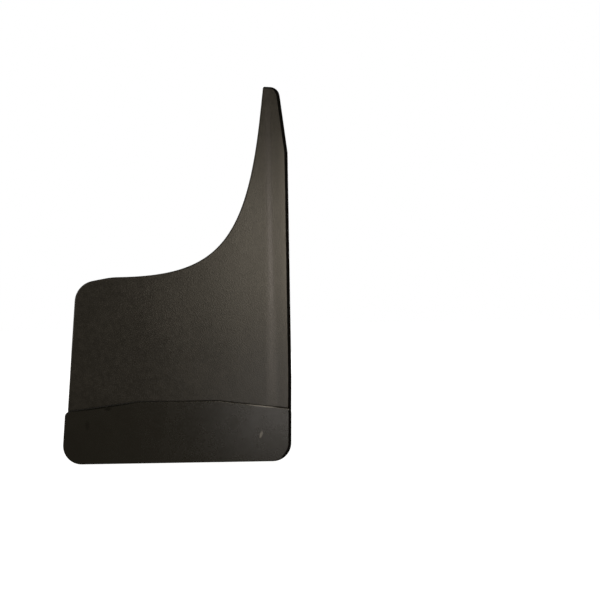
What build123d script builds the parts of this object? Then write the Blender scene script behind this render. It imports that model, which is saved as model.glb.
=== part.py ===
"""Mud flap: a moulded rubber sheet with a tall fender horn, weighted by a steel plate.

Frame: +Z up, +X outboard, -Y towards the rear of the vehicle, the face people see.
The origin is on the recessed face of the fender strip, midway across the strip.
Millimetres.
"""

from build123d import *
import os
from math import cos, radians, sin, tan

os.makedirs("parts", exist_ok=True)

# ---- Driving dimensions ----
flap_width = 355.6  # 14 in, from the line of the fender edge to the plate's inboard end
flap_height = 580.0  # 23 in nominal
origin_drop = 200.0  # the origin's depth below the horn's tip

# Rubber sheet
sheet_thickness = 9.5
strip_width = 22.0  # the flat of the recessed fender strip
step_width = 16.0  # the S-shaped step between strip and panel
step_depth = 2.0
rubber_inset = 0.6  # the plate stands proud of the fender edge by this much
rubber_rise = 3.0  # and below the rubber's bottom edge by this much
horn_kink_height = 478.0  # the fender edge is straight below it and leans in above it
horn_outer_lean = 7.0  # degrees
edge_bend_height = 130.0  # below it the fender edge leans in slightly, the plate's with it
edge_lean = 1.3
horn_inner_lean = 7.0
horn_tip_inner = 36.8  # the tip's inner corner, from the fender edge
horn_tip_outer_radius = 15.0
horn_tip_inner_radius = 3.0
sweep_start_height = 539.0
sweep_start_pull = 205.0  # the lengths of the sweep curve's end handles
sweep_end_pull = 150.0
panel_top_height = 289.0
panel_top_start = 265.0  # from the fender edge, where the sweep has come level
shoulder_start = 277.0  # where the panel's top begins to fall
shoulder_slope = 10.1
shoulder_radius = 115.0
panel_corner = 332.2
panel_corner_radius = 34.0
inboard_lean = 4.5
bottom_radius = 28.6

# Flexing line between the sheet that is held and the part that swings
hinge_height = 185.0
hinge_gap = 1.0

# Weight plate, 14 gauge
plate_thickness = 2.0
plate_end_height = 81.0
plate_mid_height = 95.2
plate_mid_width = 123.0
plate_end_radius = 7.5
plate_edge_radius = 1.4
seat_depth = 1.0  # the plate's moulded seat in the rubber
seat_gap = 0.8
step_end_rise = 0.8  # the fender strip stops this far above the end of the plate's top edge

# Hardware, 1/4-20
stud_height = 62.0
stud_spacing = 90.0
stud_count = 4
stud_radius = 3.175
stud_length = 19.05
stud_flange_radius = 3.9
stud_flange_thickness = 0.9
rubber_hole_radius = 4.2
washer_radius = 12.7
washer_hole_radius = 3.6
washer_thickness = 1.6
nut_flats = 11.11
nut_hex_height = 5.7
nut_height = 7.94
nut_bore_radius = 3.22
nut_collar_radius = 5.15
nut_lip_radius = 3.9
nut_lip_thickness = 0.5
insert_radius = 4.3

# ---- Derived places ----
top_z = origin_drop
bottom_z = top_z - flap_height
edge_x = strip_width / 2  # the fender edge's line, which the rubber stays rubber_inset inside
inboard_x = edge_x - flap_width
panel_front_y = -step_depth
panel_back_y = panel_front_y + sheet_thickness
plate_back_y = panel_front_y + seat_depth
axis_y = (panel_front_y + panel_back_y) / 2
axis_z = bottom_z + hinge_height
bead_radius = sheet_thickness - axis_y  # reaches the strip's back face
groove_radius = bead_radius + hinge_gap
margin = 30.0  # how far cutting shapes pass the object


def at(inboard, height):
    """A point of the front view, from its distance inboard of the fender edge and its height."""
    return (edge_x - inboard, bottom_z + height)


def offset_at(start, length, lean):
    """The point a length away from start, leaning inboard by an angle from straight down."""
    return (start[0] - length * sin(radians(lean)), start[1] - length * cos(radians(lean)))


def edge_inset(height):
    """How far the fender edge leans in at a height below its bend."""
    return (edge_bend_height - height) * tan(radians(edge_lean))


def sheet_outline():
    """The rubber sheet's front view."""
    kink = at(rubber_inset, horn_kink_height)
    bend = at(rubber_inset, edge_bend_height)
    bottom_outer = at(rubber_inset + edge_inset(rubber_rise), rubber_rise)
    tip_outer = at(
        rubber_inset + (flap_height - horn_kink_height) * tan(radians(horn_outer_lean)),
        flap_height,
    )
    tip_inner = at(horn_tip_inner, flap_height)
    sweep_start = at(
        horn_tip_inner + (flap_height - sweep_start_height) * tan(radians(horn_inner_lean)),
        sweep_start_height,
    )
    sweep_end = at(panel_top_start, panel_top_height)
    shoulder = at(shoulder_start, panel_top_height)
    corner_drop = (panel_corner - shoulder_start) * tan(radians(shoulder_slope))
    corner_height = panel_top_height - corner_drop
    corner = at(panel_corner, corner_height)
    bottom_inner = at(
        panel_corner + (corner_height - rubber_rise) * tan(radians(inboard_lean)),
        rubber_rise,
    )
    with BuildSketch() as outline:
        with BuildLine():
            Polyline(
                sweep_start,
                tip_inner,
                tip_outer,
                kink,
                bend,
                bottom_outer,
                bottom_inner,
                corner,
                shoulder,
                sweep_end,
            )
            Bezier(
                sweep_start,
                offset_at(sweep_start, sweep_start_pull, horn_inner_lean),
                offset_at(sweep_end, sweep_end_pull, -90),
                sweep_end,
            )
        make_face()
        for point, radius in (
            (tip_outer, horn_tip_outer_radius),
            (tip_inner, horn_tip_inner_radius),
            (corner, panel_corner_radius),
            (shoulder, shoulder_radius),
            (bottom_outer, bottom_radius - rubber_rise),
            (bottom_inner, bottom_radius - rubber_rise),
        ):
            fillet(outline.vertices().sort_by_distance(point)[0], radius)
    return outline.sketch


def plate_outline(grow=0.0):
    """The weight plate's front view, its top edge raised by grow."""
    lean = tan(radians(inboard_lean))
    top_width = flap_width - (plate_end_height - bottom_radius) * lean
    slope_run = (top_width - plate_mid_width) / 2
    with BuildSketch() as outline:
        with BuildLine():
            Polyline(
                at(edge_inset(0), 0),
                at(edge_inset(plate_end_height), plate_end_height + grow),
                at(slope_run, plate_mid_height + grow),
                at(slope_run + plate_mid_width, plate_mid_height + grow),
                at(top_width, plate_end_height + grow),
                at(flap_width + bottom_radius * lean, 0),
                close=True,
            )
        make_face()
        fillet(outline.vertices().group_by(Axis.Y)[0], bottom_radius)
        fillet(outline.vertices().group_by(Axis.Y)[-2], plate_end_radius)
    return outline.sketch


def sheet_section():
    """The sheet cut level: the fender strip, its S-shaped step, and the panel."""
    strip_x = edge_x - strip_width
    panel_x = strip_x - step_width
    middle_x = (strip_x + panel_x) / 2
    far_x = inboard_x - margin
    with BuildSketch() as section:
        with BuildLine():
            Line((edge_x, 0), (strip_x, 0))
            Bezier((strip_x, 0), (middle_x, 0), (middle_x, panel_front_y), (panel_x, panel_front_y))
            Line((panel_x, panel_front_y), (far_x, panel_front_y))
            Line((far_x, panel_front_y), (far_x, panel_back_y))
            Line((far_x, panel_back_y), (panel_x, panel_back_y))
            Bezier(
                (panel_x, panel_back_y),
                (middle_x, panel_back_y),
                (middle_x, sheet_thickness),
                (strip_x, sheet_thickness),
            )
            Line((strip_x, sheet_thickness), (edge_x, sheet_thickness))
            Line((edge_x, sheet_thickness), (edge_x, 0))
        make_face()
    return section.sketch


stud_centre_x = edge_x - flap_width / 2
stud_places = [
    (stud_centre_x + (number - (stud_count - 1) / 2) * stud_spacing, bottom_z + stud_height)
    for number in range(stud_count)
]


def on_studs(y):
    """The stud places at depth y, each turned so that its own +Z points to the wheel side."""
    return Locations(*[Location((x, y, z), (-90, 0, 0)) for x, z in stud_places])


# ---- Rubber sheet, the length that is held ----
outline_of_sheet = sheet_outline()
section_of_sheet = sheet_section()
with BuildPart() as flap_upper:
    with BuildSketch(Plane.XY.offset(axis_z)):
        add(section_of_sheet)
    extrude(amount=top_z - axis_z)
    with BuildSketch(Plane.XZ.offset(margin)):
        add(outline_of_sheet)
    extrude(amount=-2 * margin, mode=Mode.INTERSECT)
    with BuildSketch(Plane.YZ.offset(inboard_x - margin)):
        with Locations((axis_y, axis_z)):
            Circle(groove_radius)
    extrude(amount=flap_width + 2 * margin, mode=Mode.SUBTRACT)
flap_upper.part.label = "flap_upper"
export_step(flap_upper.part, "parts/flap_upper.step")

# ---- Rubber sheet, the length that swings, with the plate's seat ----
step_end_z = bottom_z + plate_end_height + step_end_rise
seat_outline = plate_outline(seat_gap)
with BuildPart() as flap_lower:
    with BuildSketch(Plane.XY.offset(step_end_z)):
        add(section_of_sheet)
    extrude(amount=axis_z + groove_radius - step_end_z)
    with BuildSketch(Plane.XY.offset(bottom_z)):
        with Locations((edge_x, panel_front_y)):
            Rectangle(flap_width + margin, sheet_thickness, align=(Align.MAX, Align.MIN))
    extrude(amount=step_end_z - bottom_z)
    with BuildSketch(Plane.XZ.offset(margin)):
        add(outline_of_sheet)
    extrude(amount=-2 * margin, mode=Mode.INTERSECT)
    with BuildSketch(Plane.YZ.offset(inboard_x - margin)):
        with Locations((axis_y, axis_z)):
            Rectangle(2 * margin, hinge_height, align=(Align.CENTER, Align.MAX))
            Circle(bead_radius)
    extrude(amount=flap_width + 2 * margin, mode=Mode.INTERSECT)
    with BuildSketch(Plane.XZ.offset(margin)):
        add(seat_outline)
    extrude(amount=-(margin + plate_back_y), mode=Mode.SUBTRACT)
    with on_studs(plate_back_y):
        Hole(rubber_hole_radius, sheet_thickness + margin)
flap_lower.part.label = "flap_lower"
export_step(flap_lower.part, "parts/flap_lower.step")

# ---- Weight plate ----
outline_of_plate = plate_outline()
with BuildPart() as weight_plate:
    with BuildSketch(Plane.XZ.offset(-plate_back_y)):
        add(outline_of_plate)
    extrude(amount=plate_thickness)
    fillet(weight_plate.edges().group_by(Axis.Y)[0], plate_edge_radius)
weight_plate.part.label = "weight_plate"
export_step(weight_plate.part, "parts/weight_plate.step")

# ---- Weld studs on the plate's back ----
with BuildPart() as stud:
    Cylinder(stud_flange_radius, stud_flange_thickness, align=(Align.CENTER, Align.CENTER, Align.MIN))
    Cylinder(stud_radius, stud_length, align=(Align.CENTER, Align.CENTER, Align.MIN))
    chamfer(stud.edges().sort_by(Axis.Z)[-1], 0.6)
with BuildPart() as plate_studs:
    with on_studs(plate_back_y):
        add(stud.part)
plate_studs.part.label = "plate_studs"
export_step(plate_studs.part, "parts/plate_studs.step")

# ---- Fender washers ----
with BuildPart() as washer:
    Cylinder(washer_radius, washer_thickness, align=(Align.CENTER, Align.CENTER, Align.MIN))
    Hole(washer_hole_radius)
    fillet(washer.edges().group_by(Axis.Z)[-1], 0.25)
with BuildPart() as fender_washers:
    with on_studs(panel_back_y):
        add(washer.part)
fender_washers.part.label = "fender_washers"
export_step(fender_washers.part, "parts/fender_washers.step")

# ---- Lock nuts: a chamfered hexagon and a round collar that holds the nylon ----
nut_y = panel_back_y + washer_thickness
insert_top = nut_height - nut_lip_thickness
with BuildPart() as nut:
    with BuildSketch():
        RegularPolygon(nut_flats / 2, 6, major_radius=False)
    extrude(amount=nut_hex_height)
    with BuildSketch():
        Circle(nut_flats / 2 / cos(radians(30)))
    extrude(amount=nut_hex_height, mode=Mode.INTERSECT)
    Cylinder(nut_collar_radius, nut_height, align=(Align.CENTER, Align.CENTER, Align.MIN))
    Hole(nut_bore_radius)
    with Locations((0, 0, nut_hex_height)):
        Cylinder(
            insert_radius,
            insert_top - nut_hex_height,
            align=(Align.CENTER, Align.CENTER, Align.MIN),
            mode=Mode.SUBTRACT,
        )
    with Locations((0, 0, insert_top)):
        Cylinder(
            nut_lip_radius,
            nut_lip_thickness,
            align=(Align.CENTER, Align.CENTER, Align.MIN),
            mode=Mode.SUBTRACT,
        )
with BuildPart() as lock_nuts:
    with on_studs(nut_y):
        add(nut.part)
lock_nuts.part.label = "lock_nuts"
export_step(lock_nuts.part, "parts/lock_nuts.step")

# ---- Nylon inserts ----
with BuildPart() as insert:
    Cylinder(insert_radius, insert_top - nut_hex_height, align=(Align.CENTER, Align.CENTER, Align.MIN))
    Hole(nut_bore_radius)
with BuildPart() as nut_inserts:
    with on_studs(nut_y + nut_hex_height):
        add(insert.part)
nut_inserts.part.label = "nut_inserts"
export_step(nut_inserts.part, "parts/nut_inserts.step")
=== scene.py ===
"""The mud flap's looks: one rubber sheet, a powder-coated plate, and its hardware.

Metres, in the CAD frame: +Z up, +X to the fender edge, -Y to the face people see.
"""
import math

import bmesh
import bpy
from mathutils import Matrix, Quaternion, Vector, noise


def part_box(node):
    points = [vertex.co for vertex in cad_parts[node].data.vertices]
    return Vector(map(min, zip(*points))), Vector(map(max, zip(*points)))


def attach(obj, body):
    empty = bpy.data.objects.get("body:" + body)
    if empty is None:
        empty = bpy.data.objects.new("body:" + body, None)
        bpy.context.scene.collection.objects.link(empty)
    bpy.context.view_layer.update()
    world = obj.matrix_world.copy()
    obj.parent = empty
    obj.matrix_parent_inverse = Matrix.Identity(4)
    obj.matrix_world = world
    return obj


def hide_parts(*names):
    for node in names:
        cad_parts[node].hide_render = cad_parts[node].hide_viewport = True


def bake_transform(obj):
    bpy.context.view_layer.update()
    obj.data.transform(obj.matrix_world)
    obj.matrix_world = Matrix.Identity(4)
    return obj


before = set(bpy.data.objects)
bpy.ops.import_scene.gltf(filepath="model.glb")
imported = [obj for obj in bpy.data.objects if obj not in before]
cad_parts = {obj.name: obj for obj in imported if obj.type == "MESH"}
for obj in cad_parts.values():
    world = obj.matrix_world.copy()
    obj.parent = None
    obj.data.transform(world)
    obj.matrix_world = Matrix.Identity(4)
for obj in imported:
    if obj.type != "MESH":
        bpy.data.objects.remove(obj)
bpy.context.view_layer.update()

MM = 0.001

# ---- Places, from the frame ----
plate_low, plate_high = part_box("weight_plate")
upper_low, upper_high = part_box("flap_upper")
stud_low, stud_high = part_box("plate_studs")
washer_low, washer_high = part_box("fender_washers")
nut_low, nut_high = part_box("lock_nuts")
insert_low, insert_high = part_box("nut_inserts")
rubber_inset = 0.6 * MM
edge_x = upper_high.x + rubber_inset
inboard_x = plate_low.x
bottom_z = plate_low.z
top_z = upper_high.z
plate_front_y = plate_low.y
plate_back_y = plate_high.y
strip_front_y = 0.0
strip_back_y = upper_high.y
sheet_thickness = strip_back_y - strip_front_y
panel_front_y = upper_low.y
panel_back_y = panel_front_y + sheet_thickness

# ---- Sizes that the frame doesn't give, as in the CAD model ----
flap_width = 355.6 * MM
strip_width = 22 * MM
step_width = 16 * MM
rubber_rise = 3 * MM
horn_kink_height = 478 * MM
horn_outer_lean = math.radians(7)
edge_bend_height = 130 * MM
edge_lean = math.radians(1.3)
horn_inner_lean = math.radians(7)
horn_tip_inner = 36.8 * MM
horn_tip_outer_radius = 15 * MM
horn_tip_inner_radius = 3 * MM
sweep_start_height = 539 * MM
sweep_start_pull = 205 * MM
sweep_end_pull = 150 * MM
panel_top_height = 289 * MM
panel_top_start = 265 * MM
shoulder_start = 277 * MM
shoulder_slope = math.radians(10.1)
shoulder_radius = 115 * MM
panel_corner = 332.2 * MM
panel_corner_radius = 34 * MM
inboard_lean = math.radians(4.5)
bottom_radius = 28.6 * MM
plate_end_height = 81 * MM
plate_mid_height = 95.2 * MM
plate_mid_width = 123 * MM
plate_end_radius = 7.5 * MM
plate_edge_radius = 1.4 * MM
stud_count = 4
stud_radius = 3.175 * MM
stud_flange_radius = 3.9 * MM
stud_flange_thickness = 0.9 * MM
thread_pitch = 25.4 * MM / 20
thread_depth = 0.6134 * thread_pitch
rubber_hole_radius = 4.2 * MM
washer_radius = 12.7 * MM
washer_hole_radius = 3.6 * MM
nut_flats = 11.11 * MM
nut_hex_height = 5.7 * MM
nut_bore_radius = 3.22 * MM
nut_collar_radius = 5.15 * MM
nut_lip_radius = 3.9 * MM
nut_lip_thickness = 0.5 * MM
insert_radius = 4.3 * MM

# ---- Finer shapes than the CAD model's ----
# The rounded edges, how much further in they reach on the fender side, as a share of their radius, and
# the width over which their dust or wear fades into the faces
front_edge_radius = 2.0 * MM
back_edge_radius = 1.0 * MM
outboard_widening = 0.75
plate_outboard_widening = 1.3
rim_fade = 0.8 * MM
plate_rim_fade = 0.6 * MM
sheared_edge = 0.2 * MM
# The mould's parting line, a low ridge round the sheet's edge
parting_depth = 6.2 * MM
parting_height = 0.12 * MM
parting_half_width = 0.25 * MM
# The step between strip and panel is narrower above the first level than below the second
step_crisp_z = -0.06
step_crisp_width = 14 * MM
step_soft_z = -0.20
step_soft_width = 20 * MM
# Lines above the plate's top edge: on the seat's floor, up its wall and lip, and on the surface beyond
seat_fold = [line * MM for line in (0.45, 0.6, 0.8, 1.05, 1.4)]
seat_lines = [-3.0 * MM] + seat_fold + [line * MM for line in (2.4, 3.6, 5.0, 6.4)]
# The seat's lip stands off further towards the plate's inboard end, where the rubber has spread
seat_spread = 0.9 * MM
seat_spread_start = 150 * MM
seat_spread_run = 120 * MM
# The rubber swells in a ring just outside each washer
swell_height = 0.4 * MM
swell_width = 1.6 * MM
swell_offset = 1.0 * MM
# The sheet is slightly uneven, from above the plate and inboard of the strip, and fully so further on
slack_depth = 0.5 * MM
slack_scale = 9
slack_above = 100 * MM
slack_inboard = 40 * MM
slack_fade = 60 * MM
# How closely faces, arcs and holes are divided
grid_pitch = 5 * MM
step_pitch = 1.2 * MM
seat_pitch = 10 * MM
arc_step = math.radians(7.5)
hole_sides = 32

first_stud_x = stud_low.x + stud_flange_radius
last_stud_x = stud_high.x - stud_flange_radius
stud_z = (stud_low.z + stud_high.z) / 2
stud_places = [
    Vector((first_stud_x + (last_stud_x - first_stud_x) * k / (stud_count - 1), stud_z))
    for k in range(stud_count)
]


def at(inboard, height):
    """A point (x, z) of the front view, from its distance inboard of the fender edge and its height."""
    return Vector((edge_x - inboard, bottom_z + height))


def leaning(start, length, lean):
    """The point a length away from start, leaning inboard by an angle from straight down."""
    return start + length * Vector((-math.sin(lean), -math.cos(lean)))


def edge_inset(height):
    """How far the fender edge leans in at a height below its bend."""
    return (edge_bend_height - height) * math.tan(edge_lean)


def smooth_step(t):
    """0 below 0, 1 above 1, and an S between them."""
    t = min(max(t, 0.0), 1.0)
    return t * t * (3 - 2 * t)


# ---- Outlines ----
def rounded(corners, spacing):
    """A closed outline from corners, each (point, radius), with points no further apart than spacing."""
    points = [point for point, radius in corners]
    out = []
    for i, (corner, radius) in enumerate(corners):
        if radius == 0:
            out.append(corner.copy())
            continue
        before = (points[i - 1] - corner).normalized()
        after = (points[(i + 1) % len(points)] - corner).normalized()
        half = before.angle(after) / 2
        middle = corner + (before + after).normalized() * (radius / math.sin(half))
        first = corner + before * (radius / math.tan(half)) - middle
        last = corner + after * (radius / math.tan(half)) - middle
        turn = first.angle_signed(last)
        pieces = max(4, math.ceil(abs(turn) / arc_step))
        for k in range(pieces + 1):
            angle = -turn * k / pieces
            c, s = math.cos(angle), math.sin(angle)
            out.append(middle + Vector((first.x * c - first.y * s, first.x * s + first.y * c)))
    filled = []
    for i, point in enumerate(out):
        following = out[(i + 1) % len(out)]
        pieces = max(1, math.ceil((following - point).length / spacing))
        filled += [point.lerp(following, k / pieces) for k in range(pieces)]
    return filled


def bezier(a, b, c, d, count):
    """Points on the cubic curve from a to d, both ends left out."""
    out = []
    for k in range(1, count):
        t = k / count
        out.append(a * (1 - t) ** 3 + b * 3 * t * (1 - t) ** 2 + c * 3 * t * t * (1 - t) + d * t**3)
    return out


def inward_normals(points):
    """At each point of a closed clockwise outline, how it moves when the outline is inset by 1."""
    out = []
    for i, point in enumerate(points):
        a = (point - points[i - 1]).normalized()
        b = (points[(i + 1) % len(points)] - point).normalized()
        normal = Vector((a.y + b.y, -a.x - b.x)).normalized()
        out.append(normal / max(0.3, normal.dot(Vector((a.y, -a.x)))))
    return out


def facing(outward):
    """1 where an edge faces a side, 0 where it doesn't, from how far its outward normal goes that way."""
    return smooth_step((outward - 0.25) / 0.6)


def outboard_share(normal):
    """1 where an edge faces the fender side, 0 where it faces down, up or inboard."""
    return facing(-normal.x)


def painted_shadow_share(point, normal):
    """1 on the edges whose rounding takes the painted shadow: the fender edge and the horn's tip."""
    near_tip = smooth_step((point.y - top_z + 4 * MM) / (2 * MM))
    return max(outboard_share(normal), near_tip * facing(-normal.y))


def sheet_outline():
    """The rubber sheet's front view, clockwise from the sweep's upper end."""
    height = top_z - bottom_z
    kink = at(rubber_inset, horn_kink_height)
    tip_outer = at(rubber_inset + (height - horn_kink_height) * math.tan(horn_outer_lean), height)
    tip_inner = at(horn_tip_inner, height)
    sweep_drop = (height - sweep_start_height) / math.cos(horn_inner_lean)
    sweep_start = leaning(tip_inner, sweep_drop, horn_inner_lean)
    sweep_end = at(panel_top_start, panel_top_height)
    shoulder = at(shoulder_start, panel_top_height)
    corner_height = panel_top_height - (panel_corner - shoulder_start) * math.tan(shoulder_slope)
    corner = at(panel_corner, corner_height)
    bend = at(rubber_inset, edge_bend_height)
    bottom_outer = at(rubber_inset + edge_inset(rubber_rise), rubber_rise)
    inboard_drop = (corner_height - rubber_rise) / math.cos(inboard_lean)
    bottom_inner = leaning(corner, inboard_drop, inboard_lean)
    sweep = bezier(
        sweep_end,
        leaning(sweep_end, sweep_end_pull, -math.pi / 2),
        leaning(sweep_start, sweep_start_pull, horn_inner_lean),
        sweep_start,
        count=90,
    )
    low_radius = bottom_radius - rubber_rise
    corners = [
        (sweep_start, 0),
        (tip_inner, horn_tip_inner_radius),
        (tip_outer, horn_tip_outer_radius),
        (kink, 0),
        (bend, 0),
        (bottom_outer, low_radius),
        (bottom_inner, low_radius),
        (corner, panel_corner_radius),
        (shoulder, shoulder_radius),
        (sweep_end, 0),
    ]
    return rounded(corners + [(point, 0) for point in sweep], grid_pitch)


# The plate's top edge: level in the middle, and falling at both ends
plate_top_width = flap_width - (plate_end_height - bottom_radius) * math.tan(inboard_lean)
plate_slope_run = (plate_top_width - plate_mid_width) / 2
plate_top_inset = edge_inset(plate_end_height)


def plate_outline():
    """The weight plate's front view, clockwise from the top of its fender edge."""
    corners = [
        (at(plate_top_inset, plate_end_height), plate_end_radius),
        (at(edge_inset(0), 0), bottom_radius),
        (at(flap_width + bottom_radius * math.tan(inboard_lean), 0), bottom_radius),
        (at(plate_top_width, plate_end_height), plate_end_radius),
        (at(plate_slope_run + plate_mid_width, plate_mid_height), 0),
        (at(plate_slope_run, plate_mid_height), 0),
    ]
    return rounded(corners, grid_pitch)


def plate_top(inboard):
    """The height of the plate's top edge at a distance inboard of the fender edge."""
    outboard_rise = (inboard - plate_top_inset) / (plate_slope_run - plate_top_inset)
    inboard_rise = (plate_top_width - inboard) / plate_slope_run
    rise = min(1, outboard_rise, inboard_rise)
    return plate_end_height + (plate_mid_height - plate_end_height) * rise


# ---- The rubber's surfaces ----
def seat_widening(inboard):
    """How much further the seat's lip stands off the plate, at a distance inboard of the fender edge."""
    return seat_spread * smooth_step((inboard - seat_spread_start) / seat_spread_run)


def above_seat(x, z):
    """The height above the plate's top edge, less the seat's widening there."""
    inboard = edge_x - x
    return z - bottom_z - plate_top(inboard) - seat_widening(inboard)


def strip_share(x, z):
    """1 on the fender strip, 0 on the panel, and the S-shaped step between, which is softer low down."""
    crispness = smooth_step((z - step_soft_z) / (step_crisp_z - step_soft_z))
    width = step_soft_width + (step_crisp_width - step_soft_width) * crispness
    return 1 - smooth_step((edge_x - x - strip_width - step_width / 2) / width + 0.5)


def sheet_front(x, z):
    """The rubber's front surface: the panel, the fender strip set back from it, and the plate's seat."""
    low, high = seat_fold[1], seat_fold[3]
    seat = 1 - smooth_step((above_seat(x, z) - low) / (high - low))
    y = panel_front_y + (strip_front_y - panel_front_y) * strip_share(x, z)
    return y + (plate_back_y - y) * seat


def sheet_back(x, z):
    """The rubber's back surface, which steps with the front and swells round the washers pressed into it."""
    to_stud = min((Vector((x, z)) - place).length for place in stud_places)
    swell = swell_height * math.exp(-(((to_stud - washer_radius - swell_offset) / swell_width) ** 2))
    above_plate = smooth_step((above_seat(x, z) + 20 * MM) / (20 * MM))
    return panel_back_y + (strip_back_y - panel_back_y) * strip_share(x, z) * above_plate + swell


def slack(x, z):
    """The gentle unevenness of a rubber sheet, none where the plate or a fender holds it."""
    off_plate = smooth_step((z - bottom_z - slack_above) / slack_fade)
    off_fender = smooth_step((edge_x - x - slack_inboard) / slack_fade)
    wave = noise.noise(Vector((x * slack_scale, 0.3, z * slack_scale)))
    return slack_depth * off_plate * off_fender * wave


# ---- Mesh helpers ----
def finish_mesh(bm, name, sharp):
    """An object from a bmesh, smooth but for edges sharper than an angle in degrees, with its rest places."""
    bmesh.ops.recalc_face_normals(bm, faces=bm.faces)
    for face in bm.faces:
        face.smooth = True
    for edge in bm.edges:
        edge.smooth = edge.calc_face_angle(0) < math.radians(sharp)
    mesh = bpy.data.meshes.new(name)
    bm.to_mesh(mesh)
    bm.free()
    rest = mesh.attributes.new("rest_place", "FLOAT_VECTOR", "POINT")
    rest.data.foreach_set("vector", [c for v in mesh.vertices for c in v.co])
    obj = bpy.data.objects.new(name, mesh)
    bpy.context.collection.objects.link(obj)
    return obj


def cut(bm, capped, place, normal, wanted=lambda face: True):
    """Cuts the caps' faces that cross a plane, where wanted says so."""
    place, normal = Vector(place), Vector(normal)
    tolerance = 1e-6
    faces = []
    for face in bm.faces:
        if face[capped] and wanted(face):
            sides = [(v.co - place).dot(normal) for v in face.verts]
            if min(sides) < -tolerance and max(sides) > tolerance:
                faces.append(face)
    geometry = set(faces)
    for face in faces:
        geometry.update(face.edges)
        geometry.update(face.verts)
    bmesh.ops.bisect_plane(bm, geom=list(geometry), dist=2e-5, plane_co=place, plane_no=normal)


def between(low, high, pitch):
    """Evenly spaced values between low and high, neither included."""
    count = max(1, round((high - low) / pitch))
    return [low + (high - low) * k / count for k in range(1, count)]


def join_loops(bm, a, b):
    """Faces between two loops with equal counts."""
    out = []
    for k in range(len(a)):
        m = (k + 1) % len(a)
        out.append(bm.faces.new((a[k], a[m], b[m], b[k])))
    return out


def slab(outline, rings, widening, rounding):
    """A closed slab from an outline and its rings, each (inset, depth, rim share), front to back.

    The outboard edge is rounded further in than the others, by the widening. The rounded faces of it and of
    the horn's tip, down to the rounding's depth, take the second material, a painted shadow. The two caps are
    marked in the face layer "cap", and the rim share is the point layer "rim".
    """
    bm = bmesh.new()
    capped = bm.faces.layers.int.new("cap")
    rim = bm.verts.layers.float.new("rim")
    normals = inward_normals(outline)
    loops = []
    for inwards, depth, share in rings:
        loop = []
        for point, normal in zip(outline, normals):
            place = point + normal * (inwards * (1 + widening * outboard_share(normal)))
            v = bm.verts.new((place.x, depth, place.y))
            v[rim] = share
            loop.append(v)
        loops.append(loop)
    for a, b, ring in zip(loops, loops[1:], rings[1:]):
        faces = join_loops(bm, a, b)
        # The roundings of the fender edge and the horn's tip take the second material, a painted shadow
        if ring[1] < rounding + 0.01 * MM:
            for face, point, normal in zip(faces, outline, normals):
                face.material_index = round(painted_shadow_share(point, normal))
    for loop in (loops[0], loops[-1]):
        bm.faces.new(loop)[capped] = 1
    return bm, capped


def quarter_round(radius, depth, sign, pieces):
    """Rings (inset, depth, rim) of a rounded edge, from a face to the wall, going deeper if the sign is 1."""
    out = []
    for k in range(pieces + 1):
        angle = math.pi / 2 * k / pieces
        inset = radius * (1 - math.sin(angle))
        out.append((inset, depth + sign * radius * (1 - math.cos(angle)), 1.0))
    return out


# ---- The rubber sheet ----
def grid_sheet(bm, capped):
    """Cuts both faces of the flat slab into a grid, finer where the surface will turn."""
    corners = [edge_x - plate_slope_run - plate_mid_width, edge_x - plate_slope_run]
    strip_x = edge_x - strip_width
    columns = between(inboard_x, corners[0], grid_pitch) + between(corners[0], corners[1], grid_pitch)
    step_low = strip_x - (step_width + step_soft_width) / 2
    step_high = step_low + step_soft_width
    columns += between(corners[1], step_low, grid_pitch) + corners
    columns += [step_low] + between(step_low, step_high, step_pitch) + [step_high]
    columns += between(step_high, edge_x, grid_pitch)
    for x in columns:
        cut(bm, capped, (x, 0, 0), (1, 0, 0))
    above_seat_z = bottom_z + plate_mid_height + 8 * MM
    below_seat_z = bottom_z + plate_end_height - 4 * MM
    rows = between(above_seat_z, top_z, grid_pitch) + [above_seat_z]
    rows += between(bottom_z, below_seat_z, grid_pitch)
    for z in rows:
        cut(bm, capped, (0, 0, z), (0, 0, 1))
    cut_seat(bm, capped, corners)


def cut_seat(bm, capped, corners):
    """Cuts the front face along lines that follow the plate's top edge, and widen with its seat."""
    past_end = 10 * MM
    reach = 20 * MM
    ends = [inboard_x] + between(inboard_x, corners[0], seat_pitch) + corners
    ends += between(corners[1], edge_x, seat_pitch) + [edge_x]
    for line in seat_lines:
        for low, high in zip(ends, ends[1:]):
            heights = []
            for x in (low, high):
                widening = seat_widening(edge_x - x) if line > 0 else 0
                heights.append(bottom_z + plate_top(edge_x - x) + line + widening)
            normal = Vector((heights[0] - heights[1], 0, high - low)).normalized()
            first = low if low > inboard_x else low - past_end
            last = high if high < edge_x else high + past_end

            def wanted(face):
                """Whether a face is on the front, along this stretch of the line."""
                centre = face.calc_center_median()
                near = abs(centre.z - sum(heights) / 2) < reach
                return centre.y < sheet_thickness / 2 and first < centre.x < last and near

            cut(bm, capped, (low, 0, heights[0]), normal, wanted)


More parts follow.
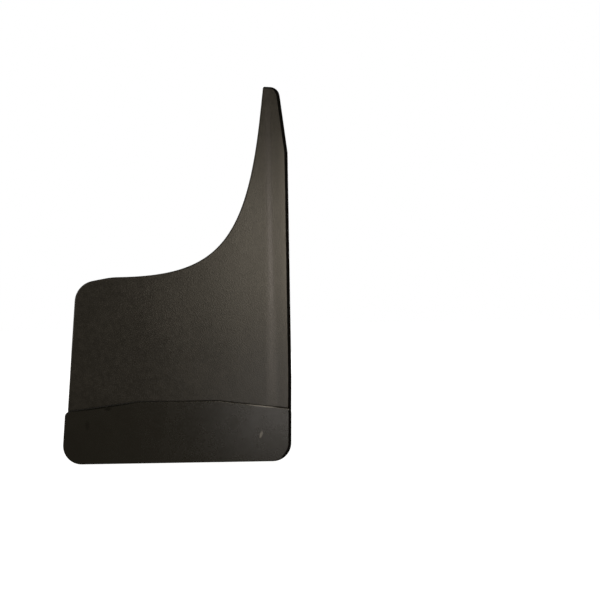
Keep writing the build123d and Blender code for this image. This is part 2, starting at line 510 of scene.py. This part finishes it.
def pierce(bm, capped, place, depth, radii):
    """Opens a round hole in the cap at a depth, with rings of these radii, and gives the hole's own loop."""
    reach = radii[-1] + 1.5 * MM
    inside = []
    for face in bm.faces:
        centre = face.calc_center_median()
        near = (Vector((centre.x, centre.z)) - place).length < reach
        if face[capped] and abs(centre.y - depth) < 1e-5 and near:
            inside.append(face)
    border = [e for f in inside for e in f.edges if sum(g in inside for g in e.link_faces) == 1]
    bmesh.ops.delete(bm, geom=inside, context="FACES")
    loops = []
    for radius in radii:
        loop = []
        for k in range(hole_sides):
            angle = math.tau * k / hole_sides
            spot = place + radius * Vector((math.cos(angle), math.sin(angle)))
            loop.append(bm.verts.new((spot.x, depth, spot.y)))
        loops.append(loop)
    for a, b in zip(loops, loops[1:]):
        join_loops(bm, a, b)
    outer = loops[-1]
    for k in range(hole_sides):
        pair = (outer[k], outer[(k + 1) % hole_sides])
        border.append(bm.edges.get(pair) or bm.edges.new(pair))
    bmesh.ops.bridge_loops(bm, edges=border)
    return loops[0]


def make_rubber():
    """The whole rubber sheet as one closed mesh, flat at first and then given its surfaces."""
    rings = [(front_edge_radius + rim_fade, 0.0, 0.0)] + quarter_round(front_edge_radius, 0, 1, 5)
    rings += [(0.0, parting_depth - parting_half_width, 1.0), (-parting_height, parting_depth, 1.0)]
    rings += [(0.0, parting_depth + parting_half_width, 1.0)]
    rings += quarter_round(back_edge_radius, sheet_thickness, -1, 3)[::-1]
    rings += [(back_edge_radius + rim_fade, sheet_thickness, 0.0)]
    bm, capped = slab(sheet_outline(), rings, outboard_widening, front_edge_radius)
    seam_shade = bm.verts.layers.float.new("seam_shade")
    grid_sheet(bm, capped)
    swell_radii = [washer_radius + r * MM for r in (-1.0, -0.2, 0.4, 1.0, 1.8, 2.8, 4.2)]
    for place in stud_places:
        front = pierce(bm, capped, place, 0.0, [rubber_hole_radius])
        back = pierce(bm, capped, place, sheet_thickness, [rubber_hole_radius] + swell_radii)
        join_loops(bm, front, back)
    for v in bm.verts:
        low, high = sheet_front(v.co.x, v.co.z), sheet_back(v.co.x, v.co.z)
        if v.co.y < sheet_thickness / 2:
            # The front's seat floor and what lies below it take the share of the painted shade in the seam's
            # gap
            v[seam_shade] = 1 - smooth_step((above_seat(v.co.x, v.co.z) - seat_fold[1]) / (0.5 * MM))
        v.co.y = low + (high - low) * v.co.y / sheet_thickness + slack(v.co.x, v.co.z)
    bmesh.ops.dissolve_degenerate(bm, dist=1e-6, edges=bm.edges)
    return finish_mesh(bm, "rubber_flap", sharp=40)


# ---- The weight plate ----
def make_plate():
    """The steel plate, sheared square at the back and rolled round at the front."""
    depth = plate_back_y - plate_front_y
    rings = [(plate_edge_radius + plate_rim_fade, 0.0, 0.0)] + quarter_round(plate_edge_radius, 0, 1, 6)
    rings += [(0.0, depth - sheared_edge, 1.0), (sheared_edge, depth, 0.5), (1.0 * MM, depth, 0.0)]
    bm, capped = slab(plate_outline(), rings, plate_outboard_widening, plate_edge_radius)
    for x in between(inboard_x, edge_x, 2 * grid_pitch):
        cut(bm, capped, (x, 0, 0), (1, 0, 0))
    for z in between(bottom_z, bottom_z + plate_mid_height, 2 * grid_pitch):
        cut(bm, capped, (0, 0, z), (0, 0, 1))
    for v in bm.verts:
        v.co.y += plate_front_y
    return finish_mesh(bm, "powder_coated_plate", sharp=50)


# ---- Hardware, turned about each stud's axis ----
def around(bm, place, row, sides, clocking=0.0):
    """A loop of points round a stud's axis. The row is a function of the angle that gives (depth, radius)."""
    loop = []
    for k in range(sides):
        angle = math.tau * k / sides
        depth, radius = row(angle)
        x, z = math.cos(angle + clocking), math.sin(angle + clocking)
        loop.append(bm.verts.new((place.x + radius * x, depth, place.y + radius * z)))
    return loop


def turned(bm, place, rows, sides, clocking=0.0):
    """Skins rows round a stud's axis, the last row joined to the first."""
    loops = [around(bm, place, row, sides, clocking) for row in rows]
    for a, b in zip(loops, loops[1:] + loops[:1]):
        join_loops(bm, a, b)


def circle(depth, radius):
    """A row that is a plain circle."""
    return lambda angle: (depth, radius)


def arc_rows(depth, radius, bend, start, end, pieces):
    """Rows along an arc of a section: its centre (depth, radius), its bend radius, and angles from +depth."""
    out = []
    for k in range(pieces + 1):
        angle = math.radians(start + (end - start) * k / pieces)
        out.append(circle(depth + bend * math.cos(angle), radius + bend * math.sin(angle)))
    return out


def make_washers():
    """Stamped fender washers: a rolled upper edge, and a small burr edge below."""
    bm = bmesh.new()
    low, high = washer_low.y, washer_high.y
    roll = 0.45 * MM
    hole_roll = 0.3 * MM
    break_edge = 0.12 * MM
    for place in stud_places:
        rows = [circle(low, washer_hole_radius + break_edge), circle(low, washer_radius - break_edge)]
        rows += arc_rows(low + break_edge, washer_radius - break_edge, break_edge, 150, 90, 2)
        rows += arc_rows(high - roll, washer_radius - roll, roll, 90, 0, 5)
        rows += [circle(high, washer_radius - 1.0 * MM), circle(high, washer_hole_radius + 0.5 * MM)]
        rows += arc_rows(high - hole_roll, washer_hole_radius + hole_roll, hole_roll, 0, -90, 4)
        rows += [circle(low + break_edge, washer_hole_radius)]
        turned(bm, place, rows, 64)
    return finish_mesh(bm, "zinc_washers", sharp=35)


def make_nuts():
    """Nylon-insert lock nuts: a chamfered hexagon, and the round collar rolled in over the nylon."""
    bm = bmesh.new()
    low = nut_low.y
    hex_top = low + nut_hex_height
    high = nut_high.y
    lip = high - nut_lip_thickness
    face_radius = nut_flats / 2 - 0.15 * MM
    crown_radius = nut_flats / 2 - 0.1 * MM
    corner_cut = 0.1 * MM
    collar_roll = 0.9 * MM
    break_edge = 0.12 * MM
    least_chamfer = 0.05 * MM
    slope = math.tan(math.radians(30))

    def flats(angle):
        """The hexagon's radius at an angle from a corner, its corners slightly rounded."""
        turn = angle % (math.pi / 3) - math.pi / 6
        return min(nut_flats / 2 / math.cos(turn), nut_flats / math.sqrt(3) - corner_cut)

    for number, place in enumerate(stud_places):
        rows = [circle(low + 0.6 * MM, nut_bore_radius), circle(low, nut_bore_radius + 0.5 * MM)]
        rows += [circle(low, face_radius)]
        rows += [lambda a: (low + least_chamfer + (flats(a) - face_radius) * slope, flats(a))]
        rows += [lambda a: (hex_top - least_chamfer - (flats(a) - crown_radius) * slope, flats(a))]
        rows += [circle(hex_top, crown_radius), circle(hex_top, nut_collar_radius + break_edge)]
        rows += [circle(hex_top + break_edge, nut_collar_radius)]
        rows += arc_rows(high - collar_roll, nut_collar_radius - collar_roll, collar_roll, 90, 0, 7)
        rows += arc_rows(high - break_edge, nut_lip_radius + break_edge, break_edge, 0, -90, 2)
        rows += [circle(lip, nut_lip_radius), circle(lip, insert_radius), circle(hex_top, insert_radius)]
        rows += [circle(hex_top, nut_bore_radius)]
        turned(bm, place, rows, 96, clocking=0.5 + 1.7 * number)
    return finish_mesh(bm, "zinc_lock_nuts", sharp=24)


def make_inserts():
    """The nylon rings, their bore swollen up round the stud."""
    bm = bmesh.new()
    low, high = insert_low.y, insert_high.y
    for place in stud_places:
        rows = [circle(low, nut_bore_radius), circle(low, insert_radius), circle(high, insert_radius)]
        rows += [circle(high, nut_lip_radius + 0.1 * MM)]
        rows += [circle(high + 0.08 * MM, nut_lip_radius - 0.25 * MM)]
        rows += [circle(high + 0.14 * MM, nut_bore_radius + 0.2 * MM)]
        rows += [circle(high + 0.05 * MM, nut_bore_radius)]
        turned(bm, place, rows, 48)
    return finish_mesh(bm, "nylon_rings", sharp=50)


def make_studs():
    """Weld studs: a flange on the plate, and a 1/4-20 thread that follows the helix to a chamfered tip."""
    bm = bmesh.new()
    sides = 32
    merged = 2e-6
    root = stud_radius - thread_depth
    neck = root - 0.05 * MM
    base, tip = stud_low.y, stud_high.y
    start = base + stud_flange_thickness + 0.5 * MM
    turns = math.ceil((tip - start) / thread_pitch)
    profile = [(0.0, root), (0.25, root), (0.5625, stud_radius), (0.6875, stud_radius)]
    for place in stud_places:
        loops = []
        for turn in range(-1, turns + 1):
            for phase, radius in profile:

                def row(angle):
                    """The helix, held to the thread's two ends and cut by their chamfers."""
                    depth = start + thread_pitch * (turn + phase + angle / math.tau)
                    depth = min(max(depth, start), tip)
                    return depth, min(radius, neck + (depth - start), neck + (tip - depth))

                loops.append(around(bm, place, row, sides))
        for r in range(len(loops) - 1):
            for k in range(sides):
                after = r + (len(profile) if k == sides - 1 else 0)
                if after + 1 < len(loops):
                    m = (k + 1) % sides
                    bm.faces.new((loops[r][k], loops[after][m], loops[after + 1][m], loops[r + 1][k]))
        flange = base + stud_flange_thickness
        rows = [circle(start, neck), circle(flange + 0.12 * MM, stud_radius - 0.3 * MM)]
        rows += [circle(flange, stud_radius), circle(flange, stud_flange_radius - 0.2 * MM)]
        rows += [circle(flange - 0.2 * MM, stud_flange_radius), circle(base, stud_flange_radius)]
        foot = [around(bm, place, row, sides) for row in rows]
        for a, b in zip(foot, foot[1:]):
            join_loops(bm, a, b)
        bm.faces.new(foot[-1])
        bm.faces.new(around(bm, place, circle(tip, neck), sides))
    bmesh.ops.remove_doubles(bm, verts=bm.verts, dist=merged)
    bmesh.ops.dissolve_degenerate(bm, dist=merged, edges=bm.edges)
    loose = [v for v in bm.verts if not v.link_faces]
    bmesh.ops.delete(bm, geom=loose, context="VERTS")
    return finish_mesh(bm, "threaded_studs", sharp=40)


# ---- Materials ----
def new_material(name):
    """A material with a Principled shader, and its node tree."""
    made = bpy.data.materials.new(name)
    made.use_nodes = True
    return made, made.node_tree, made.node_tree.nodes["Principled BSDF"]


def put(tree, socket, value):
    """Links a socket or sets a plain value on an input."""
    if isinstance(value, bpy.types.NodeSocket):
        tree.links.new(value, socket)
    else:
        socket.default_value = value


def node(tree, kind, settings=None, **inputs):
    """A shader node with its settings and inputs. An underscore in an input's name stands for a space."""
    made = tree.nodes.new("ShaderNode" + kind)
    for key, value in (settings or {}).items():
        setattr(made, key, value)
    for key, value in inputs.items():
        put(tree, made.inputs[key.replace("_", " ")], value)
    return made


def rest_place(tree):
    """Each point's place at rest, which stays with the surface when it bends."""
    return node(tree, "Attribute", {"attribute_name": "rest_place"}).outputs["Vector"]


def share_of(tree, name):
    """A share stored with the mesh's points: "rim", or "seam_shade" where the seat's gap is painted as shade.
    """
    return node(tree, "Attribute", {"attribute_name": name}).outputs["Fac"]


def maths(tree, operation, a, b=0.0, c=0.0):
    """A Math node's output."""
    made = node(tree, "Math", {"operation": operation})
    for socket, value in zip(made.inputs, (a, b, c)):
        put(tree, socket, value)
    return made.outputs[0]


def ranged(tree, value, low, high, to_low, to_high):
    """A value taken smoothly from one range to another, held at its ends."""
    made = node(tree, "MapRange", {"interpolation_type": "SMOOTHSTEP"}, Value=value)
    for name, bound in (("From Min", low), ("From Max", high), ("To Min", to_low), ("To Max", to_high)):
        put(tree, made.inputs[name], bound)
    return made.outputs["Result"]


def mixed(tree, share, a, b):
    """Two colours mixed by a share."""
    made = tree.nodes.new("ShaderNodeMix")
    made.data_type = "RGBA"
    put(tree, made.inputs["Factor"], share)
    for socket, colour in ((made.inputs[6], a), (made.inputs[7], b)):
        put(tree, socket, colour if isinstance(colour, bpy.types.NodeSocket) else (*colour, 1))
    return made.outputs[2]


def clouds(tree, place, scale, detail=2.0, rough=0.5):
    """A noise texture's value. Scale is cells to the metre."""
    made = node(tree, "TexNoise", Vector=place, Scale=scale, Detail=detail, Roughness=rough)
    return made.outputs["Fac"]


def times(tree, a, b):
    """Two values multiplied."""
    return maths(tree, "MULTIPLY", a, b)


def axis_of(tree, place, axis):
    """One coordinate of a place, its axis X, Y or Z."""
    return node(tree, "SeparateXYZ", Vector=place).outputs[axis]


def bump(tree, height, depth):
    """A normal from a height of 0 to 1, with its full depth in metres."""
    return node(tree, "Bump", Height=height, Distance=depth, Strength=1.0).outputs["Normal"]


def rubber_material():
    """Moulded rubber: a warm near-black pebble grain with a satin bloom, dusty in patches and at the rims.

    It has painted shade in the grain's hollows and in the seat's gap, and a painted sheen on the strip.
    """
    made, tree, shader = new_material("moulded_rubber")
    place, rim, seam_shade = rest_place(tree), share_of(tree, "rim"), share_of(tree, "seam_shade")
    # Pebbles whose borders wander, and a finer roughness over them
    bent = node(tree, "VectorMath", {"operation": "MULTIPLY_ADD"})
    put(tree, bent.inputs[0], node(tree, "TexNoise", Vector=place, Scale=260.0, Detail=1.0).outputs["Color"])
    put(tree, bent.inputs[1], (0.0016, 0.0016, 0.0016))
    put(tree, bent.inputs[2], place)
    cells = node(tree, "TexVoronoi", {"feature": "F1"}, Vector=bent.outputs[0], Scale=520.0)
    pebble = ranged(tree, cells.outputs["Distance"], 0.15, 0.75, 1.0, 0.0)
    fine = clouds(tree, place, 1900.0, 1.0)
    height = maths(tree, "MULTIPLY_ADD", fine, 0.25, times(tree, pebble, 0.75))
    put(tree, shader.inputs["Normal"], bump(tree, height, 0.00007))
    # The bloom, painted shade in the hollows between pebbles, pale specks and dark blotches
    patches = clouds(tree, place, 11.0, 5.0, 0.6)
    mottle = clouds(tree, place, 130.0, 3.0, 0.6)
    speckle = clouds(tree, place, 420.0, 2.0)
    bare, bloomed = (0.0165, 0.0150, 0.0128), (0.0215, 0.0193, 0.0165)
    colour = mixed(tree, ranged(tree, patches, 0.3, 0.7, 0.0, 1.0), bare, bloomed)
    # Darker in the hollows between pebbles: painted shade
    colour = mixed(tree, ranged(tree, pebble, 0.0, 0.5, 0.35, 0.0), colour, (0.009, 0.0082, 0.007))
    colour = mixed(tree, ranged(tree, speckle, 0.55, 0.75, 0.0, 0.35), colour, (0.034, 0.031, 0.027))
    colour = mixed(tree, ranged(tree, mottle, 0.35, 0.65, 0.5, 0.0), colour, (0.010, 0.009, 0.008))
    dust = times(tree, rim, ranged(tree, clouds(tree, place, 55.0, 3.0), 0.4, 0.7, 0.05, 0.35))
    colour = mixed(tree, dust, colour, (0.05, 0.047, 0.042))
    # The strip's outer side is painted lighter, a painted sheen, less so from one level down and none above
    # another
    faint_z, full_z, waning_z, sheen_end_z = -0.20, -0.08, 0.08, 0.16
    outboard = ranged(tree, axis_of(tree, place, "X"), edge_x - 18 * MM, edge_x - 2 * MM, 0.0, 1.0)
    level = axis_of(tree, place, "Z")
    painted_strip_sheen = times(tree, outboard, ranged(tree, level, faint_z, full_z, 0.3, 1.0))
    painted_strip_sheen = times(tree, painted_strip_sheen, ranged(tree, level, waning_z, sheen_end_z, 1.0, 0.0))
    # Painted sheen on the strip's outer side
    colour = mixed(tree, times(tree, painted_strip_sheen, 0.55), colour, (0.075, 0.070, 0.060))
    # The seat's gap above the plate is painted near-black: painted shade in the seam
    colour = mixed(tree, seam_shade, colour, (0.0010, 0.0009, 0.0008))
    put(tree, shader.inputs["Base Color"], colour)
    rough = maths(tree, "MULTIPLY_ADD", patches, 0.10, 0.16)
    rough = maths(tree, "MULTIPLY_ADD", mottle, 0.14, rough)
    rough = maths(tree, "MULTIPLY_ADD", speckle, 0.10, rough)
    put(tree, shader.inputs["Roughness"], maths(tree, "MULTIPLY_ADD", seam_shade, 0.45, rough))
    shader.inputs["Specular IOR Level"].default_value = 0.5
    return made


def painted_shadow_rim_material(name, grain, depth):
    """The fender edge's and the horn tip's rounding: the same stuff, matt and painted near-black, a painted
    shadow.
    """
    made, tree, shader = new_material(name)
    place = rest_place(tree)
    patches = clouds(tree, place, grain / 8, 3.0)
    # Near-black colour: a painted shadow along the rounding
    colour = mixed(tree, patches, (0.0006, 0.0005, 0.0004), (0.0022, 0.0020, 0.0017))
    put(tree, shader.inputs["Base Color"], colour)
    put(tree, shader.inputs["Roughness"], maths(tree, "MULTIPLY_ADD", patches, 0.2, 0.7))
    put(tree, shader.inputs["Normal"], bump(tree, clouds(tree, place, grain, 2.0), depth))
    shader.inputs["Specular IOR Level"].default_value = 0.08
    return made


def streak(tree, place, middle, lean, length, width):
    """1 at the middle (x, z) of an oval mark on the plate's face, fading to 0 at its outline."""
    x = maths(tree, "SUBTRACT", axis_of(tree, place, "X"), middle[0])
    z = maths(tree, "SUBTRACT", axis_of(tree, place, "Z"), middle[1])
    c, s = math.cos(lean), math.sin(lean)
    along = maths(tree, "MULTIPLY_ADD", x, s, times(tree, z, c))
    across = maths(tree, "MULTIPLY_ADD", x, c, times(tree, z, -s))
    along = maths(tree, "POWER", maths(tree, "DIVIDE", along, length / 2), 2.0)
    across = maths(tree, "POWER", maths(tree, "DIVIDE", across, width / 2), 2.0)
    return ranged(tree, maths(tree, "ADD", along, across), 0.0, 1.0, 1.0, 0.0)


def below_seam(inboard, drop):
    """A point on the plate's face, a drop below its top edge."""
    return at(inboard, plate_top(inboard) - drop)


def dark_marks_and_seam_shade(tree, place, along_slope):
    """Dark marks at the plate's inboard end: a dark spot, a blot, and a line under the sloping seam, painted
    shade.
    """
    dark_spot = streak(tree, place, at(317 * MM, 60.5 * MM), 0.0, 20 * MM, 9 * MM)
    blot = streak(tree, place, below_seam(285 * MM, 4 * MM), along_slope, 14 * MM, 7 * MM)
    # The line darkens the plate just under the seam: painted shade of the seam's gap
    line = streak(tree, place, below_seam(292 * MM, 0.5 * MM), along_slope, 124 * MM, 3.6 * MM)
    marks_and_seam_shade = maths(tree, "MAXIMUM", times(tree, dark_spot, 0.35), times(tree, blot, 0.6))
    return maths(tree, "MAXIMUM", marks_and_seam_shade, line)


def plate_material():
    """Satin black powder coat: fine orange peel, darker marks, painted shade and highlight at the seam, and a
    scuff.
    """
    made, tree, shader = new_material("satin_powder_coat")
    place, rim = rest_place(tree), share_of(tree, "rim")
    peel = clouds(tree, place, 750.0, 2.0, 0.4)
    grit = clouds(tree, place, 2600.0, 1.0)
    height = maths(tree, "MULTIPLY_ADD", grit, 0.3, times(tree, peel, 0.7))
    put(tree, shader.inputs["Normal"], bump(tree, height, 0.00005))
    # Marks, some of them along the sloping ends of the top edge: darker ones, painted shade and highlight, a
    # scuff
    slope = math.atan2(plate_mid_height - plate_end_height, plate_slope_run)
    dim_patch = streak(tree, place, at(90.3 * MM, 61.3 * MM), math.radians(10), 26 * MM, 18 * MM)
    marks_and_seam_shade = dark_marks_and_seam_shade(tree, place, math.pi / 2 - slope)
    # A painted highlight just under the seam at the fender end, where the rounded top edge catches light
    painted_seam_highlight = streak(tree, place, below_seam(46 * MM, 0.9 * MM), math.pi / 2 + slope, 58 * MM, 3.2 * MM)
    scuff = streak(tree, place, at(48.7 * MM, 42 * MM), math.radians(18), 14 * MM, 5.6 * MM)
    scuff = times(tree, scuff, ranged(tree, clouds(tree, place, 900.0, 2.0), 0.3, 0.6, 0.3, 1.0))
    worn = ranged(tree, clouds(tree, place, 140.0, 4.0, 0.7), 0.58, 0.68, 0.0, 0.5)
    patches = clouds(tree, place, 9.0, 4.0, 0.55)
    colour = mixed(tree, patches, (0.0095, 0.0087, 0.0070), (0.0125, 0.0115, 0.0095))
    colour = mixed(tree, times(tree, dim_patch, 0.5), colour, (0.004, 0.004, 0.003))
    # Dark marks, and the painted shade line under the inboard slope of the seam
    colour = mixed(tree, marks_and_seam_shade, colour, (0.001, 0.001, 0.001))
    # Painted highlight under the seam
    colour = mixed(tree, times(tree, painted_seam_highlight, 0.55), colour, (0.26, 0.255, 0.245))
    colour = mixed(tree, times(tree, scuff, 0.8), colour, (0.22, 0.215, 0.205))
    colour = mixed(tree, times(tree, rim, worn), colour, (0.05, 0.048, 0.045))
    put(tree, shader.inputs["Base Color"], colour)
    rough = maths(tree, "MULTIPLY_ADD", patches, 0.06, 0.18)
    rough = maths(tree, "ADD", ranged(tree, clouds(tree, place, 24.0, 3.0), 0.3, 0.8, 0.0, 0.04), rough)
    rough = maths(tree, "MULTIPLY_ADD", clouds(tree, place, 110.0, 3.0, 0.6), 0.08, rough)
    rough = maths(tree, "MULTIPLY_ADD", scuff, 0.15, rough)
    rough = maths(tree, "MULTIPLY_ADD", dim_patch, 0.07, rough)
    rough = maths(tree, "MULTIPLY_ADD", marks_and_seam_shade, -0.17, rough)
    put(tree, shader.inputs["Roughness"], rough)
    shader.inputs["Specular IOR Level"].default_value = 0.5
    return made


def zinc_material():
    """Bright zinc plate with a faint passivation tint, tumbled scratches and duller patches."""
    made, tree, shader = new_material("zinc_plate")
    place = rest_place(tree)
    patches = clouds(tree, place, 160.0, 4.0, 0.6)
    colour = mixed(tree, ranged(tree, patches, 0.35, 0.65, 0.0, 1.0), (0.55, 0.56, 0.56), (0.64, 0.63, 0.58))
    dull = ranged(tree, clouds(tree, place, 420.0, 3.0, 0.65), 0.55, 0.72, 0.0, 0.5)
    colour = mixed(tree, dull, colour, (0.36, 0.36, 0.35))
    put(tree, shader.inputs["Base Color"], colour)
    rough = maths(tree, "MULTIPLY_ADD", dull, 0.25, maths(tree, "MULTIPLY_ADD", patches, 0.12, 0.24))
    put(tree, shader.inputs["Roughness"], rough)
    stretched = node(tree, "Mapping", Vector=place, Scale=(1500.0, 1500.0, 260.0)).outputs[0]
    scratches = clouds(tree, stretched, 1.0, 2.0)
    put(tree, shader.inputs["Normal"], bump(tree, scratches, 0.00002))
    shader.inputs["Metallic"].default_value = 1.0
    return made


def nylon_material():
    """Natural nylon, slightly translucent and marked by the thread."""
    made, tree, shader = new_material("natural_nylon")
    place = rest_place(tree)
    patches = clouds(tree, place, 600.0, 3.0)
    put(tree, shader.inputs["Base Color"], mixed(tree, patches, (0.68, 0.68, 0.62), (0.80, 0.80, 0.75)))
    put(tree, shader.inputs["Roughness"], ranged(tree, patches, 0.3, 0.7, 0.35, 0.5))
    put(tree, shader.inputs["Normal"], bump(tree, clouds(tree, place, 2500.0, 2.0), 0.00003))
    return made


# ---- Making the pieces ----
rubber_flap = make_rubber()
weight_plate = make_plate()
washers = make_washers()
nuts = make_nuts()
inserts = make_inserts()
studs = make_studs()

zinc = zinc_material()
for piece, finish in (
    (rubber_flap, rubber_material()),
    (weight_plate, plate_material()),
    (washers, zinc),
    (nuts, zinc),
    (studs, zinc),
    (inserts, nylon_material()),
):
    piece.data.materials.append(finish)
# The fender edge's and horn tip's roundings take a near-black material: a painted shadow along those edges
rubber_flap.data.materials.append(painted_shadow_rim_material("rubber_fender_rim_painted_shadow", 900.0, 0.00006))
weight_plate.data.materials.append(painted_shadow_rim_material("plate_fender_rim_painted_shadow", 1500.0, 0.00003))

for piece, node_name, slot in (
    (weight_plate, "weight_plate", "plate"),
    (washers, "fender_washers", "zinc_steel"),
    (nuts, "lock_nuts", "zinc_steel"),
    (studs, "plate_studs", "zinc_steel"),
    (inserts, "nut_inserts", "nylon"),
):
    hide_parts(node_name)
    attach(piece, "lower")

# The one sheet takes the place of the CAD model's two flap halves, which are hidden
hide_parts("flap_upper", "flap_lower")
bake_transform(rubber_flap)


# ---- Stage ----
def make_floor():
    """A plain pale floor that runs into the white surroundings, and lets the low light through from below."""
    radius = 6.0
    shaded_radius = 0.5
    bm = bmesh.new()
    bmesh.ops.create_circle(bm, cap_ends=True, segments=96, radius=radius)
    mesh = bpy.data.meshes.new("floor")
    bm.to_mesh(mesh)
    bm.free()
    floor = bpy.data.objects.new("floor", mesh)
    floor.location = (0, 0, bottom_z - 0.5 * MM)
    bpy.context.collection.objects.link(floor)
    made, tree, shader = new_material("pale_floor")
    tree.nodes.remove(shader)
    out = tree.nodes["Material Output"]
    seen = node(tree, "LightPath").outputs["Is Camera Ray"]
    place = node(tree, "TexCoord").outputs["Object"]
    distance = node(tree, "VectorMath", {"operation": "LENGTH"})
    put(tree, distance.inputs[0], place)
    glow = ranged(tree, distance.outputs["Value"], 0.0, shaded_radius, 0.94, 1.0)
    matt = node(tree, "BsdfDiffuse", Color=(0.3, 0.3, 0.3, 1))
    lit = node(tree, "Emission", Strength=times(tree, glow, seen))
    both = node(tree, "AddShader")
    put(tree, both.inputs[0], matt.outputs[0])
    put(tree, both.inputs[1], lit.outputs[0])
    put(tree, out.inputs["Surface"], both.outputs[0])
    mesh.materials.append(made)
    floor.visible_shadow = False
    floor.visible_glossy = False
    floor.visible_diffuse = False


def make_surroundings():
    """White to the eye, and a dim warm light all round the object."""
    world = bpy.data.worlds.new("studio")
    bpy.context.scene.world = world
    world.use_nodes = True
    tree = world.node_tree
    out = tree.nodes["World Output"]
    tree.nodes.remove(tree.nodes["Background"])
    warm = node(tree, "Background", Color=(1.0, 0.908, 0.642, 1), Strength=0.109)
    white = node(tree, "Background", Color=(1, 1, 1, 1), Strength=1.0)
    both = node(tree, "MixShader")
    put(tree, both.inputs[0], node(tree, "LightPath").outputs["Is Camera Ray"])
    put(tree, both.inputs[1], warm.outputs[0])
    put(tree, both.inputs[2], white.outputs[0])
    put(tree, out.inputs["Surface"], both.outputs[0])


def area_light(name, place, width, height, power, colour):
    """A soft rectangular light that faces the flap's panel and isn't seen itself."""
    data = bpy.data.lights.new(name, "AREA")
    data.shape = "RECTANGLE"
    data.size = width
    data.size_y = height
    data.energy = power
    data.color = colour
    light = bpy.data.objects.new(name, data)
    light.location = place
    light.rotation_mode = "QUATERNION"
    light.rotation_quaternion = (light_target - light.location).to_track_quat("-Z", "Y")
    light.visible_camera = False
    bpy.context.collection.objects.link(light)


def make_camera():
    """The photograph's view: square on to the panel, from just outboard of its edge, and slightly rolled."""
    distance = 1.05
    outboard = 14.9 * MM
    height = 248.7 * MM
    seen_width = 0.928
    roll = math.radians(0.98)
    sensor_width = 36
    data = bpy.data.cameras.new("camera")
    data.sensor_width = sensor_width
    data.lens = sensor_width * distance / seen_width
    camera = bpy.data.objects.new("camera", data)
    camera.rotation_mode = "QUATERNION"
    level = Vector((0, 1, 0)).to_track_quat("-Z", "Y")
    camera.rotation_quaternion = Quaternion((0, 1, 0), roll) @ level
    camera.location = (edge_x + outboard, panel_front_y - distance, bottom_z + height)
    bpy.context.collection.objects.link(camera)
    bpy.context.scene.camera = camera


make_camera()
make_floor()
make_surroundings()
# Three small lights in front shade the faces as in the photograph, and two wide ones light the other sides
light_target = Vector((-0.1, 0, -0.1))
front_y = -1.15
area_light("key", (-0.025, front_y, 0.05), 0.40, 0.45, 2.52, (1.0, 0.892, 0.715))
area_light("fender_side", (0.65, front_y, -0.05), 0.55, 0.65, 7.5, (1.0, 0.884, 0.765))
area_light("low", (0.05, front_y, -0.46), 0.45, 0.25, 0.86, (1.0, 0.947, 0.911))
area_light("inboard_side", (-1.8, -0.9, 0.2), 1.0, 1.0, 6.5, (1.0, 0.95, 0.88))
area_light("behind", (0.3, 1.9, 0.5), 1.8, 1.4, 45.0, (1.0, 0.99, 0.97))
bpy.context.scene.view_settings.view_transform = "Standard"
